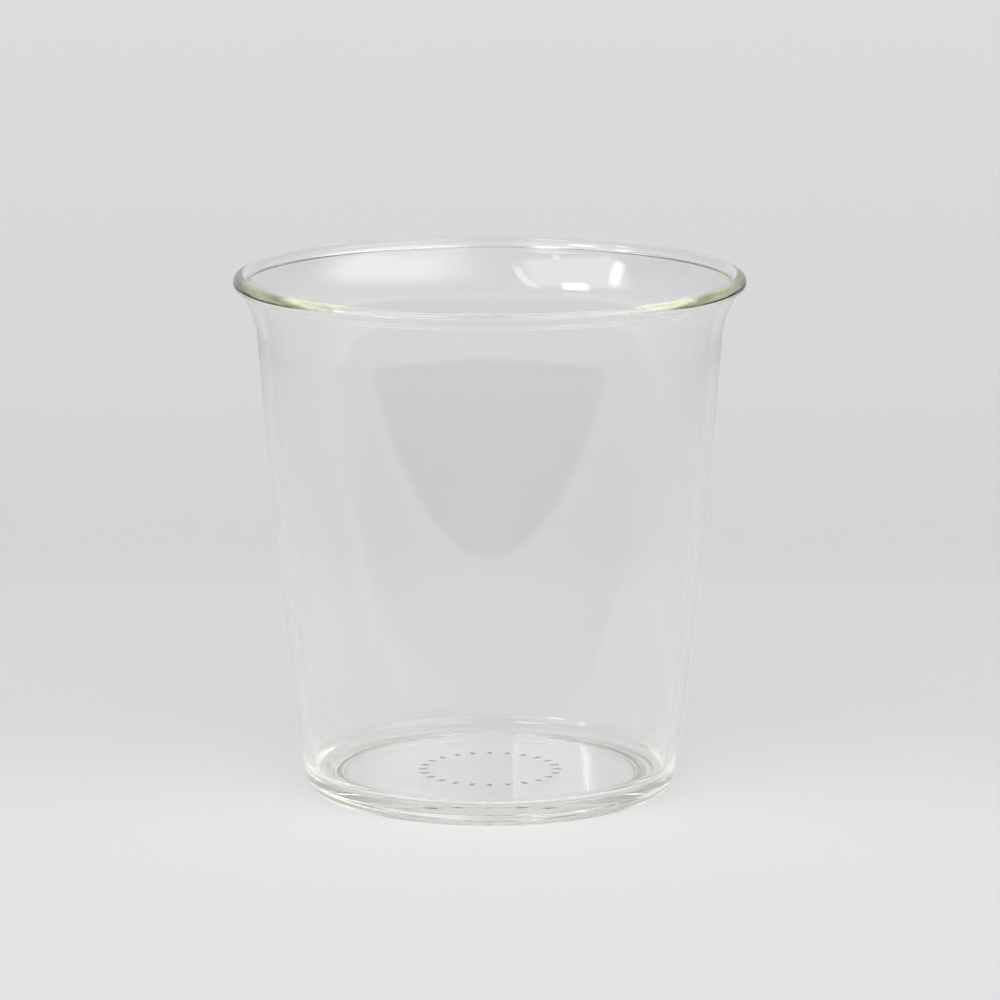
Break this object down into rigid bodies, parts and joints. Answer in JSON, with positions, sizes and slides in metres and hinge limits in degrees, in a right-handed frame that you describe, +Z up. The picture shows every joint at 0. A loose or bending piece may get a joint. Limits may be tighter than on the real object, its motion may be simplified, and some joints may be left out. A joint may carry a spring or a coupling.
{
  "type": "cortado glass",
  "caption": "Clear tapered glass tumbler with a flared, beaded lip and a hollowed base, for a short milk coffee.",
  "frame": {"origin": "centre of the base, on the plane that the glass stands on", "axes": "+Z up along the axis of the glass; X and Y are free, because the glass is round"},
  "size_m": [0.075, 0.075, 0.0768],
  "materials": {
    "glass": "clear, fire-polished",
    "print": "fired grey enamel"
  },
  "bodies": {
    "root": {"glass": "glass", "base_mark": "print"}
  },
  "joints": []
}
